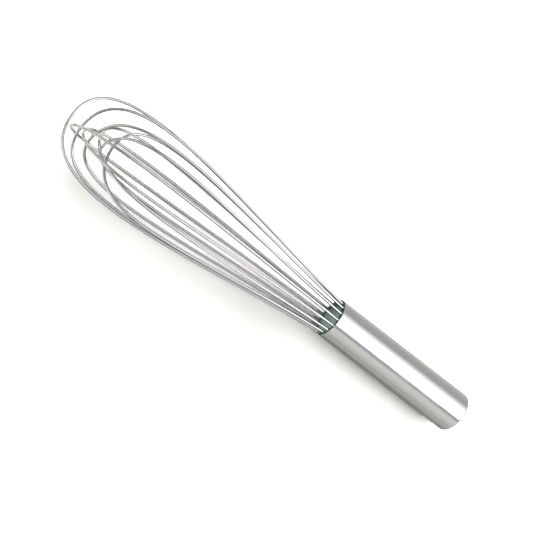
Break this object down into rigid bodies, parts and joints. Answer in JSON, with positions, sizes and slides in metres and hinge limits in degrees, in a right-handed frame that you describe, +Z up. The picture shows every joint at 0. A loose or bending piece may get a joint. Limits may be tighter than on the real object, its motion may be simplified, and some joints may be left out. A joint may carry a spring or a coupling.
{
  "type": "balloon whisk",
  "caption": "Hand whisk for beating and aerating: nested steel wire loops set in resin in the mouth of a drawn stainless steel tube handle.",
  "frame": {"origin": "middle of the part's box, on the flat surface that the whisk lies on", "axes": "+X from the handle towards the tip of the balloon, along the length of the whisk as it lies; +Z up; +Y across the whisk"},
  "size_m": [0.305, 0.0558, 0.0564],
  "materials": {
    "handle_steel": "satin stainless steel, finely brushed",
    "wire_steel": "bright drawn and polished stainless steel wire",
    "seal_resin": "poured grey-green resin, half gloss",
    "retainer_steel": "stamped stainless sheet, mill finish",
    "anchor_resin": "poured amber resin",
    "dam_rubber": "moulded matt rubber"
  },
  "bodies": {
    "root": {"handle_tube": "handle_steel", "mouth_seal": "seal_resin", "wire_retainer": "retainer_steel", "anchor_resin": "anchor_resin", "dam_plug": "dam_rubber", "wire_loop_1": "wire_steel", "wire_loop_2": "wire_steel", "wire_loop_3": "wire_steel", "wire_loop_4": "wire_steel", "wire_loop_5": "wire_steel", "wire_loop_6": "wire_steel", "wire_loop_7": "wire_steel", "wire_loop_8": "wire_steel"}
  },
  "joints": []
}
